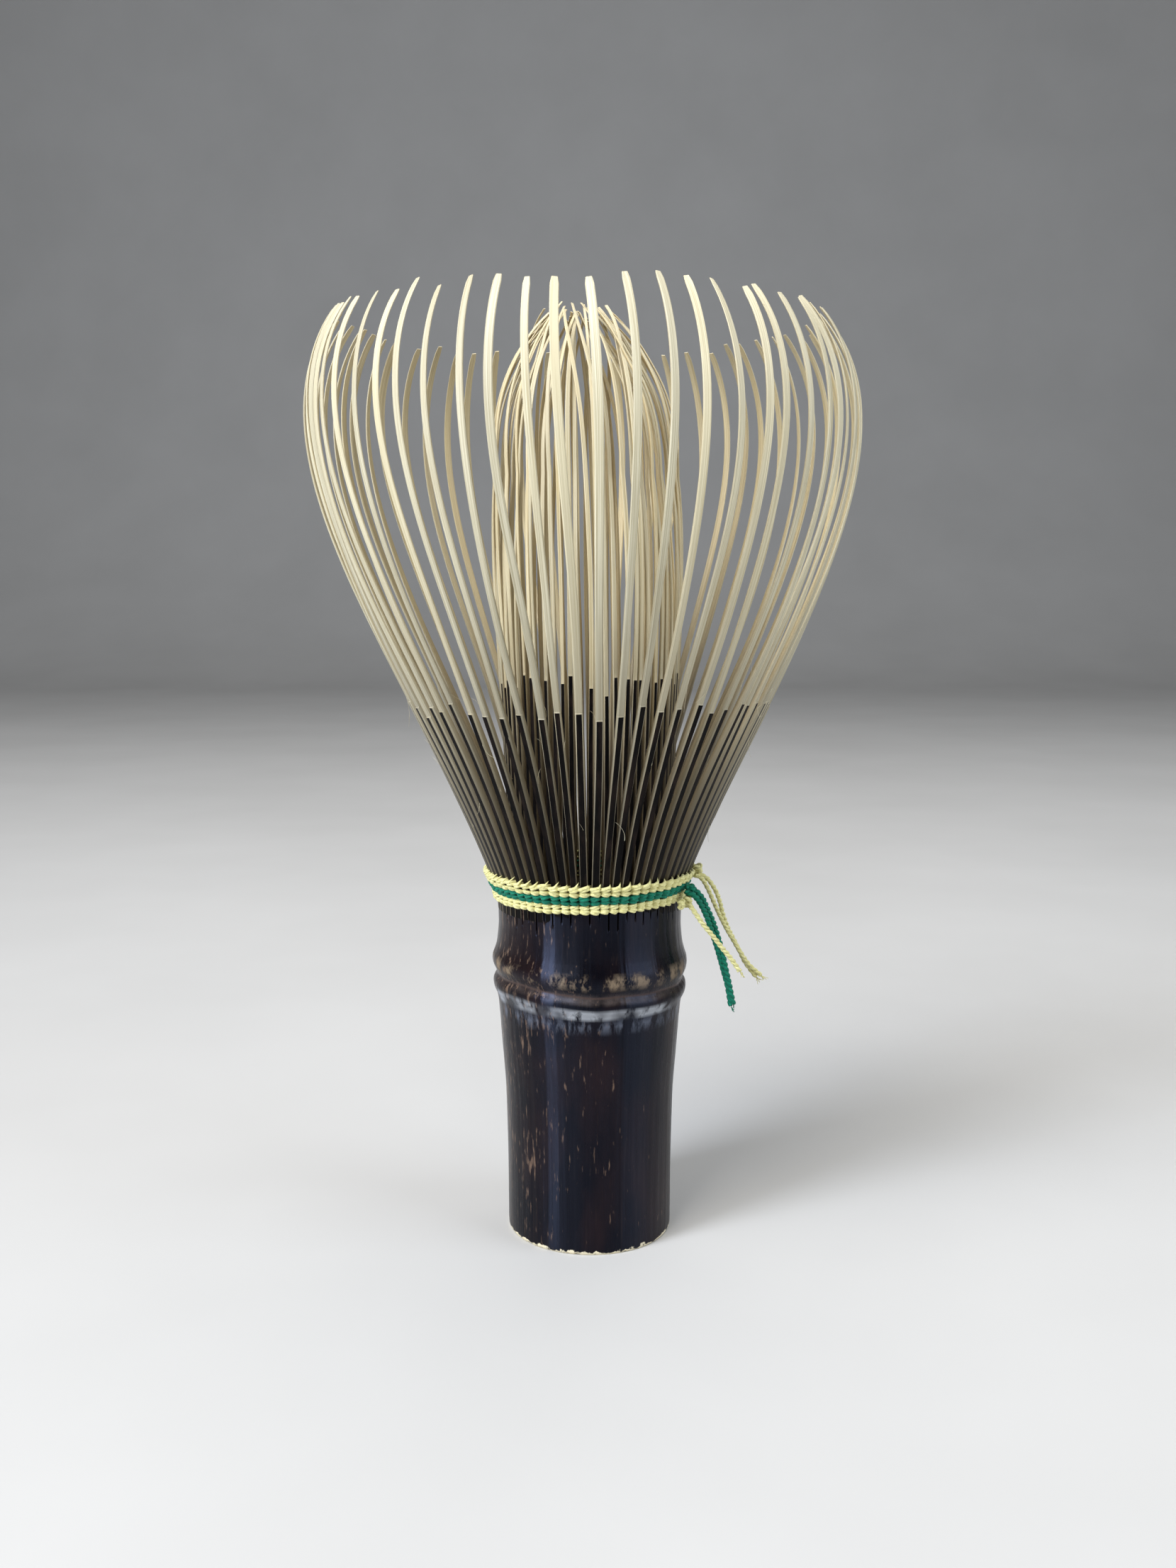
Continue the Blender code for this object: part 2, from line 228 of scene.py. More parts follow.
class Shader:
    """A Principled material and short ways to add nodes to it."""

    def __init__(self, name, roughness):
        self.material = bpy.data.materials.new(name)
        self.material.use_nodes = True
        self.tree = self.material.node_tree
        self.surface = self.tree.nodes["Principled BSDF"]
        self.surface.inputs["Roughness"].default_value = roughness

    def node(self, kind, **settings):
        made = self.tree.nodes.new(kind)
        for key, value in settings.items():
            setattr(made, key, value)
        return made

    def link(self, source, target):
        self.tree.links.new(source, target)

    def set(self, **values):
        for name, value in values.items():
            self.surface.inputs[name.replace("_", " ")].default_value = value

    def stretched(self, coordinates, scale):
        mapping = self.node("ShaderNodeMapping")
        mapping.inputs["Scale"].default_value = scale
        self.link(coordinates, mapping.inputs["Vector"])
        return mapping.outputs["Vector"]

    def fibres(self, coordinates, scale, detail=3.0, roughness=0.55):
        """Noise with its own scale along each axis."""
        return self.noise(self.stretched(coordinates, scale), 1.0, detail, roughness)

    def noise(self, coordinates, scale, detail=3.0, roughness=0.55):
        made = self.node("ShaderNodeTexNoise")
        made.inputs["Scale"].default_value = scale
        made.inputs["Detail"].default_value = detail
        made.inputs["Roughness"].default_value = roughness
        self.link(coordinates, made.inputs["Vector"])
        return made.outputs["Fac"]

    def ramp(self, value, *stops):
        made = self.node("ShaderNodeValToRGB")
        elements = made.color_ramp.elements
        while len(elements) < len(stops):
            elements.new(0.5)
        for element, (place, colour) in zip(elements, stops):
            element.position = place
            element.color = (*colour, 1.0)
        self.link(value, made.inputs["Fac"])
        return made.outputs["Color"]

    def mix(self, factor, first, second, blend="MIX"):
        made = self.node("ShaderNodeMix", data_type="RGBA", blend_type=blend)
        for label, value in (("Factor", factor), ("A", first), ("B", second)):
            socket = made.inputs[label]
            if isinstance(value, bpy.types.NodeSocket):
                self.link(value, socket)
            elif isinstance(value, tuple):
                socket.default_value = (*value, 1.0)
            else:
                socket.default_value = value
        return made.outputs["Result"]

    def maths(self, operation, first, second):
        made = self.node("ShaderNodeMath", operation=operation)
        for socket, value in zip(made.inputs, (first, second)):
            if isinstance(value, bpy.types.NodeSocket):
                self.link(value, socket)
            else:
                socket.default_value = value
        return made.outputs["Value"]

    def plus(self, first, second):
        return self.maths("ADD", first, second)

    def times(self, first, second):
        return self.maths("MULTIPLY", first, second)

    def remap(self, value, low, high, new_low=0.0, new_high=1.0):
        made = self.node("ShaderNodeMapRange")
        made.inputs["From Min"].default_value = low
        made.inputs["From Max"].default_value = high
        made.inputs["To Min"].default_value = new_low
        made.inputs["To Max"].default_value = new_high
        self.link(value, made.inputs["Value"])
        return made.outputs["Result"]

    def band(self, height, low, high, soft):
        """1 between two heights in millimetres, with soft edges inside them."""
        rise = self.remap(height, low * MM, (low + soft) * MM)
        fall = self.remap(height, (high - soft) * MM, high * MM, 1.0, 0.0)
        return self.times(rise, fall)

    def colour(self, source):
        self.link(source, self.surface.inputs["Base Color"])

    def rough(self, source):
        self.link(source, self.surface.inputs["Roughness"])

    def bump(self, height, distance, strength=1.0):
        made = self.node("ShaderNodeBump")
        made.inputs["Distance"].default_value = distance
        made.inputs["Strength"].default_value = strength
        self.link(height, made.inputs["Height"])
        self.link(made.outputs["Normal"], self.surface.inputs["Normal"])

    def attribute(self, name):
        made = self.node("ShaderNodeAttribute", attribute_name=name)
        return made.outputs["Fac"]

    def uv(self):
        return self.node("ShaderNodeUVMap").outputs["UV"]

    def place(self):
        return self.node("ShaderNodeTexCoord").outputs["Object"]


def flesh_material(name, pale, deep, low):
    """Split bamboo: long fibres, a tint for each tine, painted shade darkening it below the skin's end,
    and painted shade, darker and browner, on the faces towards the axis.
    """
    shader = Shader(name, 0.55)
    uv = shader.uv()
    fibres = shader.fibres(uv, (0.05, 9.0, 1), 4.0)
    patches = shader.fibres(uv, (0.09, 0.6, 1), 2.0)
    straw = shader.mix(shader.remap(fibres, 0.35, 0.65), deep, pale)
    straw = shader.mix(shader.remap(patches, 0.4, 0.75, 0.0, 0.35), straw, deep)
    straw = shader.mix(shader.remap(shader.attribute("tint"), 0.4, 1.0, 0.0, 0.5), straw, deep)
    # Painted shade: the flesh is darker towards the skin's end and pales up the tine
    painted_shade_flesh = shader.mix(shader.remap(fibres, 0.35, 0.65), low, tuple(0.6 * part for part in low))
    body = shader.mix(shader.attribute("rise"), painted_shade_flesh, straw)
    # Painted shade: faces towards the axis darker and browner
    body = shader.mix(shader.times(shader.attribute("back"), 0.65), body, INWARD_SHADE_TINT, "MULTIPLY")
    tint = shader.remap(shader.attribute("tint"), 0.0, 1.0, 0.78, 1.12)
    shader.colour(shader.mix(1.0, body, tint, "MULTIPLY"))
    shader.rough(shader.remap(fibres, 0.3, 0.7, 0.45, 0.65))
    shader.bump(fibres, 0.00003, 0.5)
    return shader.material


def skin_material(name, black, stained, streaked):
    """Near-black bamboo skin on the lower tines, with a dull shine and fine lengthwise grain."""
    shader = Shader(name, 0.35)
    uv = shader.uv()
    grain = shader.fibres(uv, (0.15, 8.0, 1))
    stain = shader.fibres(uv, (0.25, 0.9, 1))
    body = shader.mix(shader.remap(stain, 0.48, 0.7), black, stained)
    shader.colour(shader.mix(shader.remap(grain, 0.62, 0.75, 0.0, 0.5), body, streaked))
    shader.rough(shader.remap(grain, 0.3, 0.7, 0.34, 0.5))
    shader.set(Specular_IOR_Level=0.07)
    shader.bump(grain, 0.00002, 0.4)
    return shader.material


def culm_skin(shader, spot, streaks, black, clouded, streaked):
    """Near-black with brown clouds and fine streaks, and tan flecks that are thickest at the left."""
    clouds = shader.fibres(spot, (170, 170, 70), 4.0)
    skin = shader.mix(shader.remap(clouds, 0.42, 0.7), black, clouded)
    skin = shader.mix(shader.remap(streaks, 0.6, 0.85, 0.0, 0.5), skin, streaked)
    separate = shader.node("ShaderNodeSeparateXYZ")
    shader.link(spot, separate.inputs["Vector"])
    flecks = shader.fibres(spot, (2300, 2300, 420), 3.5)
    where = shader.fibres(spot, (130, 130, 60), 1.5)
    leftward = shader.remap(separate.outputs["X"], -0.011, 0.004, 0.11, -0.04)
    level = shader.plus(shader.plus(flecks, leftward), shader.remap(where, 0.3, 0.7, -0.07, 0.05))
    return shader.mix(shader.remap(level, 0.645, 0.77, 0.0, 0.9), skin, FLECK_TAN)


def node_marks(shader, spot, height, ragged):
    """Every mark round the node as (mask, strength, colour), from scars down to the faint painted
    reflection.
    """
    blots = shader.fibres(spot, (260, 260, 160), 2.0)
    reflection_breakup = shader.fibres(spot, (900, 900, 260), 4.0, 0.65)
    torn = shader.plus(shader.times(ragged, 0.75), shader.times(blots, 0.25))
    scars = shader.times(shader.band(height, *SCARS[0]), shader.remap(torn, 0.49, 0.59))
    dust = shader.times(shader.band(height, *ROOT_DUST[0]), shader.remap(ragged, 0.3, 0.75))
    line = shader.band(height, *GROOVE_LINE[0])
    # Painted reflection: pale bluish patches below the node ridge, and fainter bluish ones lower down
    reflection_run = shader.times(shader.band(height, *PAINTED_SKY_REFLECTION[0]), shader.remap(reflection_breakup, 0.35, 0.5))
    painted_reflection = shader.times(reflection_run, shader.remap(blots, 0.38, 0.55, 0.12, 1.0))
    faint_reflection = shader.times(shader.band(height, *FAINT_SKY_REFLECTION[0]), shader.remap(reflection_breakup, 0.47, 0.6))
    return ((scars, *SCARS[1:]), (dust, *ROOT_DUST[1:]), (line, *GROOVE_LINE[1:]),
            (painted_reflection, *PAINTED_SKY_REFLECTION[1:]), (faint_reflection, *FAINT_SKY_REFLECTION[1:]))


def culm_material():
    """The handle's black skin with the node's pale scars and a painted pale reflection below them, and
    a bare cut rim at the base.
    """
    shader = Shader("culm_skin", 0.3)
    spot = shader.place()
    height = shader.attribute("rise")
    streaks = shader.fibres(spot, (2600, 2600, 70))
    ragged = shader.fibres(spot, (520, 520, 300), 4.0, 0.7)
    body = culm_skin(shader, spot, streaks, *CULM_SKIN)
    marks = node_marks(shader, spot, height, ragged)
    for mask, strength, colour in marks:
        body = shader.mix(shader.times(mask, strength), body, colour)

    chips = shader.noise(spot, 1300)
    edge = shader.plus(height, shader.remap(chips, 0.3, 0.7, -0.00032, 0.00032))
    bare = shader.remap(edge, 0.00026, 0.0004, 1.0, 0.0)
    shader.colour(shader.mix(bare, body, RIM_CREAM))
    # Rougher over the scars, the painted reflection and the bare rim
    scars, painted_reflection = marks[0][0], marks[3][0]
    dull = shader.plus(shader.plus(painted_reflection, scars), bare)
    gloss = shader.remap(streaks, 0.3, 0.7, 0.24, 0.34)
    shader.rough(shader.plus(gloss, shader.times(dull, 0.3)))
    shader.bump(shader.plus(shader.times(streaks, 0.6), ragged), 0.00004, 0.35)
    shader.set(Specular_IOR_Level=0.24, Specular_Tint=(0.55, 0.66, 1.0, 1.0),
               Anisotropic=1.0, Anisotropic_Rotation=0.25)
    return shader.material


def thread_material(name, colour, deep):
    """Twisted cotton: fine fibres across the ply, darker between them, a soft sheen."""
    shader = Shader(name, 0.72)
    uv = shader.uv()
    fibres = shader.fibres(uv, (2.2, 14.0, 1))
    wear = shader.fibres(uv, (0.35, 0.5, 1), 2.0)
    body = shader.mix(shader.remap(fibres, 0.3, 0.68), deep, colour)
    shader.colour(shader.mix(shader.remap(wear, 0.45, 0.75, 0.0, 0.35), body, deep))
    shader.bump(fibres, 0.00004, 0.6)
    shader.set(Sheen_Weight=0.08, Sheen_Roughness=0.5, Specular_IOR_Level=0.25)
    return shader.material


def stage_material():
    """Pale matt floor with a barely seen mottling."""
    shader = Shader("pale_floor", 0.8)
    mottling = shader.noise(shader.place(), 14)
    shader.colour(shader.ramp(mottling, (0.3, FLOOR_GREYS[0]), (0.7, FLOOR_GREYS[1])))
    return shader.material


# ---------------------------------------------------------------- meshes

def smoothstep(value):
    level = np.clip(value, 0, 1)
    return level * level * (3 - 2 * level)


def along(values, shares):
    """Straight-line blend through evenly spaced values, in metres."""
    return np.interp(shares, np.linspace(0, 1, len(values)), values) * MM


def lean(heights):
    return LEAN_RATE * np.clip(heights - LEAN_START, 0, None) ** 2


def place(radii, azimuths, heights):
    """Points at a distance from the axis, on the head's leaning and splayed shape."""
    x = radii * np.sin(azimuths) - lean(heights)
    return np.stack((x, -radii * np.cos(azimuths), heights), axis=-1)


def splayed(azimuths, heights):
    """The tines bunch a little towards the two sides on their way up."""
    share = smoothstep((heights - SPLAY_START) / (SPLAY_END - SPLAY_START))
    return azimuths + SPLAY * share * np.sin(2 * azimuths)


def unit(vectors):
    return vectors / np.linalg.norm(vectors, axis=-1, keepdims=True)


def swept_quads(sides, station, column, first):
    """The four corners of every quad between neighbouring rings."""
    following = (column + 1) % sides
    corner = first + station * sides
    return np.stack((corner + column, corner + following, corner + sides + following,
                     corner + sides + column), axis=-1).reshape(-1, 4)


def swept_uvs(lengths, around, station, column):
    """Millimetres along and around a sweep, for the corners of every quad."""
    low, high = lengths[station], lengths[station + 1]
    left, right = around[column], around[column + 1]
    corners = ((low, left), (low, right), (high, right), (high, left))
    return np.stack([np.stack(corner, -1) for corner in corners], axis=-2).reshape(-1, 2)


def sweep(parts, name, materials):
    """One mesh from closed sweeps with capped ends. A part is a dictionary: its rings (n, m, 3), and
    where it has them its seed, tint, rise, back corners, cap material and a paint function from
    (station, column) arrays to material numbers."""
    points, quads, caps, numbers, cap_numbers, uvs, cap_uvs = [], [], [], [], [], [], []
    tints, rises, backs = [], [], []
    first = 0
    for part in parts:
        rings, seed = part["rings"], part.get("seed", 0.0)
        stations, sides = rings.shape[:2]
        steps = np.linalg.norm(np.diff(rings[:, 0], axis=0), axis=1)
        lengths = np.concatenate(([0], np.cumsum(steps))) / MM + seed * SEED_STRIDE
        widths = np.linalg.norm(np.roll(rings[0], -1, axis=0) - rings[0], axis=1)
        around = np.concatenate(([0], np.cumsum(widths))) / MM + seed
        station, column = np.meshgrid(np.arange(stations - 1), np.arange(sides), indexing="ij")
        quads.append(swept_quads(sides, station, column, first))
        uvs.append(swept_uvs(lengths, around, station, column))
        numbers.append(part["paint"](station, column).reshape(-1) if "paint" in part
                       else np.zeros(station.size, int))
        for ring, ordered in ((0, range(sides - 1, -1, -1)), (stations - 1, range(sides))):
            caps.append([first + ring * sides + index for index in ordered])
            cap_numbers.append(part.get("cap", 0))
            cap_uvs.extend((lengths[ring], around[index]) for index in ordered)
        points.append(rings.reshape(-1, 3))
        tints.append(np.full(stations * sides, part.get("tint", 0.5)))
        rise = part.get("rise", np.ones(stations))
        rises.append(rise.reshape(-1) if rise.ndim == 2 else np.repeat(rise, sides))
        back = np.zeros((stations, sides))
        back[:, part.get("back", [])] = 1
        backs.append(back.reshape(-1))
        first += stations * sides
    mesh = bpy.data.meshes.new(name)
    faces = np.concatenate(quads).tolist() + caps
    mesh.from_pydata(np.concatenate(points).tolist(), [], faces)
    for material in materials:
        mesh.materials.append(material)
    numbers.append(np.array(cap_numbers, int))
    mesh.polygons.foreach_set("material_index", np.concatenate(numbers))
    mesh.polygons.foreach_set("use_smooth", np.ones(len(faces), bool))
    flat = np.concatenate(uvs + [np.array(cap_uvs)]).astype(np.float32)
    mesh.uv_layers.new(name="UVMap").data.foreach_set("uv", flat.reshape(-1))
    for label, values in (("tint", tints), ("rise", rises), ("back", backs)):
        layer = mesh.attributes.new(label, "FLOAT", "POINT")
        layer.data.foreach_set("value", np.concatenate(values).astype(np.float32))
    return mesh


def add_piece(name, mesh, sharp=None):
    if sharp is not None:
        mesh.set_sharp_from_angle(angle=math.radians(sharp))
    made = bpy.data.objects.new(name, mesh)
    bpy.context.scene.collection.objects.link(made)
    return made


def tube(points, radius, sides, twist=0.0):
    """Rings of a round tube along points; radius and twist are one number or one for each point."""
    tangents = unit(np.gradient(points, axis=0))
    across = np.cross(tangents, (0.0, 0.0, 1.0))
    thin = np.linalg.norm(across, axis=1) < 1e-3
    across[thin] = (1.0, 0.0, 0.0)
    across = unit(across - tangents * np.sum(across * tangents, axis=1, keepdims=True))
    upward = np.cross(across, tangents)
    angles = np.linspace(0, 2 * math.pi, sides, endpoint=False)[None, :, None]
    angles = angles + np.reshape(twist, (-1, 1, 1))
    reach = np.reshape(radius, (-1, 1, 1))
    around = np.cos(angles) * across[:, None] + np.sin(angles) * upward[:, None]
    return points[:, None] + reach * around


def plies(points, strand_radius, turns, sides=7):
    """A two-ply strand along points, as tube rings; turns is the strand's twist at every point."""
    ply_radius = strand_radius * PLY_SHARE
    rings = []
    for turn in (turns, turns + math.pi):
        guide = tube(points, strand_radius - ply_radius, 1, turn)[:, 0]
        rings.append(tube(guide, ply_radius, sides))
    return rings


def even_twist(points, pitch):
    """The twist at every point of a strand that makes a full turn in each pitch, in millimetres."""
    steps = np.linalg.norm(np.diff(points, axis=0), axis=1)
    return 2 * math.pi * np.concatenate(([0], np.cumsum(steps))) / (pitch * MM)


def smooth_route(controls, count):
    """A smooth curve through given points in millimetres."""
    controls = np.array(controls, float) * MM
    padded = np.vstack((2 * controls[0] - controls[1], controls, 2 * controls[-1] - controls[-2]))
    shares = np.linspace(0, len(controls) - 1 - 1e-9, count)
    index = shares.astype(int)
    part = (shares - index)[:, None]
    p0, p1, p2, p3 = (padded[index + step] for step in range(4))
    return 0.5 * (2 * p1 + (p2 - p0) * part + (2 * p0 - 5 * p1 + 4 * p2 - p3) * part ** 2
                  + (3 * p1 - p0 - 3 * p2 + p3) * part ** 3)


# ---------------------------------------------------------------- tines

def course_points(course, shares):
    p0, p1, p2, p3 = np.array(course) * MM
    share = shares[:, None]
    rest = 1 - share
    return rest ** 3 * p0 + 3 * rest ** 2 * share * p1 + 3 * rest * share ** 2 * p2 + share ** 3 * p3


def tine_sections(centres, out, widths, depths, faces, step):
    """Eight corners round a tine at each station: bevelled outer face, flanks, rounded back."""
    tangents = unit(np.gradient(centres, axis=0))
    out = unit(out - tangents * np.sum(out * tangents, axis=1, keepdims=True))
    across = np.cross(tangents, out)
    columns = (
        (-faces, step), (faces, step), (0.5, 0.22 * depths + step), (0.5, 0.8 * depths),
        (0.34, depths), (-0.34, depths), (-0.5, 0.8 * depths), (-0.5, 0.22 * depths + step),
    )
    corners = []
    for side, depth in columns:
        sideways = across * np.reshape(side * widths, (-1, 1))
        corners.append(centres + sideways - out * np.reshape(depth, (-1, 1)))
    return np.stack(corners, axis=1)


def wave(shares, size, turns=1.3):
    """A slow sideways wander that starts at nothing."""
    phase = rng.uniform(0, 2 * math.pi)
    swing = np.sin(2 * math.pi * turns * shares + phase) - math.sin(phase)
    return size * smoothstep(shares * 2) * swing


def stations_with_skin_end(course, skin_top):
    """Even stations along a tine, with two close together where the skin stops, and where that is."""
    shares = np.linspace(0, 1, STATIONS)
    heights = course_points(course, shares)[:, 1]
    end = np.interp(skin_top, heights, shares)
    return np.sort(np.concatenate((shares, (end, end + SKIN_END_GAP)))), end


def painted_shade_fade(heights, skin_top, below, length):
    """How pale the flesh is at each height, from nearly the painted shade of the lower flesh to straw.
    """
    return smoothstep((heights - skin_top + below) / length) * 0.9 + 0.1


def outward(azimuths, upward):
    """Directions away from the axis, with a share of straight up."""
    return np.stack((np.sin(azimuths), -np.cos(azimuths), upward), axis=-1)


def tine_part(rings, skinned, rise):
    """A tine for sweep(), its skin on the outer face of the skinned stations."""
    skin_stations = int(skinned.sum()) - 1
    return {
        "rings": rings, "tint": rng.uniform(), "rise": rise, "back": BACK_CORNERS,
        "seed": rng.uniform(0, 9),
        "paint": lambda station, column: np.where((column == 0) & (station < skin_stations), 1, 0),
    }


def outer_tine(azimuth, trim):
    """One broad outer tine from inside the crown to its curled-in tip."""
    skin_top = OUTER_SKIN_TOP + rng.normal(0, OUTER_SKIN_SPREAD) * MM
    shares, end = stations_with_skin_end(OUTER_COURSE, skin_top)
    shares = shares * (1 - trim)
    profile = course_points(OUTER_COURSE, shares)
    stretch = smoothstep((shares - 0.1) / 0.9)
    radii = profile[:, 0] + rng.normal(0, OUTER_RADIUS_SPREAD) * MM * stretch
    radii = radii + wave(shares, 0.12 * MM)
    heights = profile[:, 1]
    azimuths = splayed(np.full_like(heights, azimuth), heights)
    drift = rng.normal(0, OUTER_DRIFT_SPREAD) * MM * stretch + wave(shares, 0.18 * MM)
    azimuths = azimuths + drift / np.maximum(radii, 8 * MM)
    crown = np.array(CROWN_FACE) * MM
    radii = np.concatenate((crown[:, 0] + 0.02 * MM, radii))
    heights = np.concatenate((crown[:, 1], heights))
    azimuths = np.concatenate((np.full(len(crown), azimuth), azimuths))
    shares = np.concatenate((np.zeros(len(crown)), shares))
    roll = rng.normal(0, OUTER_ROLL_SPREAD) * smoothstep(shares) + wave(shares, 0.05)
    widths = along(OUTER_WIDTHS, shares) * rng.normal(1, 0.05)
    depths = along(OUTER_THICKNESSES, shares) * rng.normal(1, 0.06)
    skinned = heights <= np.interp(end * (1 - trim), shares, heights) + 0.01 * MM
    step = np.where(skinned, 0.0, SKIN_STEP)
    faces = np.interp(shares, np.linspace(0, 1, CONTROL_COUNT), OUTER_FACE_SHARES)
    rings = tine_sections(place(radii, azimuths, heights),
                          outward(azimuths + roll, np.zeros_like(radii)), widths, depths, faces, step)
    tip = rings[-1].mean(axis=0)
    rings[-1] = tip + (rings[-1] - tip) * 0.72
    return tine_part(rings, skinned, painted_shade_fade(heights, skin_top, *OUTER_SHADE_FADE))


def inner_tine(azimuth, index):
    """One thin inner tine: it bows out, then bends in and tangles with the others at the top."""
    skin_top = INNER_SKIN_TOP + rng.normal(0, INNER_SKIN_SPREAD) * MM
    shares, end = stations_with_skin_end(INNER_COURSE, skin_top)
    profile = course_points(INNER_COURSE, shares)
    upper = smoothstep((shares - 0.35) / 0.65)
    late = smoothstep((shares - 0.6) / 0.4)
    top = smoothstep((shares - 0.86) / 0.14)
    setback = INNER_SETBACKS[index] * MM
    wander = np.clip(rng.normal(0, INNER_WANDER_SPREAD), -0.7, 0.7) * MM
    dome = 0.9 * MM * np.sin(math.pi * np.clip((shares - 0.65) / 0.35, 0, 1))
    radii = profile[:, 0] + dome - setback * upper * (1 - 0.6 * top)
    radii = radii + wander * np.sin(math.pi * shares) * upper + rng.uniform(-0.5, 1.0) * MM * top
    heights = profile[:, 1] + rng.uniform(-0.8, 0.4) * MM * late
    heights = heights - rng.uniform(0.0, 0.8) * MM * top ** 2
    azimuths = azimuth + rng.normal(0, INNER_AZIMUTH_SPREAD) * upper + wave(shares, 0.012)
    swirl = np.clip(rng.normal(0, INNER_SWIRL_SPREAD), -1.9, 1.9) * MM * late ** 2
    sideways = np.stack((np.cos(azimuths), np.sin(azimuths), np.zeros_like(radii)), axis=-1)
    centres = place(radii, azimuths, heights) + sideways * swirl[:, None]
    roll = rng.normal(0, INNER_ROLL_SPREAD) * upper + wave(shares, 0.15)
    widths = along(INNER_WIDTHS, shares) * rng.normal(1, 0.14)
    depths = along(INNER_THICKNESSES, shares) * rng.normal(1, 0.1)
    skinned = shares <= end + 1e-6
    step = np.where(skinned, 0.0, SKIN_STEP * 0.5)
    faces = np.interp(shares, np.linspace(0, 1, CONTROL_COUNT), INNER_FACE_SHARES)
    out = outward(azimuths + roll, 0.2 * upper)
    rings = tine_sections(centres, out, widths, depths, faces, step)
    return tine_part(rings, skinned, painted_shade_fade(heights, skin_top, *INNER_SHADE_FADE))


def hairs(tine, count):
    """Fine splinters standing off a tine's edges."""
    parts = []
    steps = np.linspace(0, 1, 8)[:, None]
    for _ in range(count):
        station = rng.integers(STATIONS // 6, STATIONS // 2)
        foot = tine["rings"][station, rng.integers(0, 8)]
        upward = unit(tine["rings"][station + 1, 0] - tine["rings"][station, 0])
        away = unit(rng.normal(0, 1, 3))
        direction = rng.choice((-1, 1))
        reach = upward * steps * direction + away * steps ** 2 * 0.5
        route = foot + reach * rng.uniform(0.8, 3.2) * MM
        rings = tube(route, (0.03 - 0.02 * steps) * MM, 4)
        parts.append({"rings": rings, "rise": np.full(8, 0.9), "seed": rng.uniform(0, 9)})
    return parts


def tine_angles(group):
    """Azimuths of a group's tines."""
    centre = (TINES_PER_GROUP - 1) / 2
    middle = (group + 0.5) * GROUP_ANGLE
    return [middle + (index - centre) * TINE_ANGLE for index in range(TINES_PER_GROUP)]


def all_tine_angles():
    return [azimuth for group in range(GROUPS) for azimuth in tine_angles(group)]


def add_tines(finishes):
    """Sixteen outer fans and sixteen inner ones, each fan in place of its part."""
    for group in range(GROUPS):
        angles = tine_angles(group)
        node = f"outer_tines_{group + 1:02d}"
        tines = [outer_tine(azimuth, rng.uniform(0, 0.02)) for azimuth in angles]
        parts = tines + [hair for tine in tines for hair in hairs(tine, rng.integers(1, 4))]
        mesh = sweep(parts, node, (finishes["outer"], finishes["skin"]))
        fan = add_piece(f"outer_fan_{group + 1:02d}", mesh, TINE_SHARP_ANGLE)
        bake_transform(fan)
        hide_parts(node)
        node = f"inner_tines_{group + 1:02d}"
        parts = [inner_tine(azimuth - TINE_ANGLE / 2, index) for index, azimuth in enumerate(angles)]
        mesh = sweep(parts, node, (finishes["inner"], finishes["skin"]))
        fan = add_piece(f"inner_fan_{group + 1:02d}", mesh, TINE_SHARP_ANGLE)
        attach(fan, "whisk")
        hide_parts(node)


# ---------------------------------------------------------------- handle

def ring_noise(count, half):
    """Random numbers round a closed ring, each the mean of a window reaching half to either side."""
    values = rng.normal(0, 1, count)
    pad = 2 * half
    padded = np.concatenate((values[-pad:], values, values[:pad]))
    window = np.ones(2 * half + 1) / (2 * half + 1)
    return np.convolve(padded, window, "same")[pad:-pad]


def culm_surface(rows, angles):
    """Radii of the culm's outside, and the height on the plain outline that each of them stands for."""
    outline = np.array(CULM)
    smooth = np.interp(rows, outline[:, 0], outline[:, 1])
    smooth[1:-1] = np.convolve(smooth, np.array((1, 2, 1)) / 4, "valid")
    heights = np.repeat(rows[:, None], len(angles), axis=1)
    turn = angles[None, :]
    ripple = (0.16 * np.sin(turn * 2 + 0.7) + 0.09 * np.sin(turn * 5 + 2.0)
              + 0.05 * np.sin(turn * 11 + 1.0))
    near_node = np.exp(-((rows - NODE_HEIGHT) / 3.0) ** 2)[:, None]
    levels = heights + near_node * (ripple + 0.32 * np.sin(turn))
    radii = np.interp(levels, rows, smooth)
    radii += 0.05 * np.sin(turn * 2 + 0.4) + 0.03 * np.sin(turn * 3 + heights * 0.05)
    radii += 0.018 * ring_noise(len(angles), 3)[None, :] * np.clip(rows / 3, 0, 1)[:, None]
    chipped = np.clip(ring_noise(len(angles), 4)[None, :] - 0.2, 0, 0.5)
    radii[:4] -= chipped * np.array((0.36, 0.24, 0.08, 0.0))[:, None]
    return radii, levels


def cut_slots(radii, rows, angles):
    """A narrow slot between every two tines, each ending at its own height below the lashing."""
    spread = all_tine_angles()
    for low, high in zip(spread, spread[1:] + [spread[0] + 2 * math.pi]):
        gap = (low + high) / 2
        bottom = SLOT_BOTTOM + rng.normal(0, 0.6) - (rng.uniform() < 0.2) * rng.uniform(0.5, 1.6)
        away = np.abs((angles - gap + math.pi) % (2 * math.pi) - math.pi) * NECK_RADIUS
        depth = SLOT_DEPTH * smoothstep((rows - bottom) / 2.4)[:, None]
        radii -= depth * (away == away.min())[None, :]


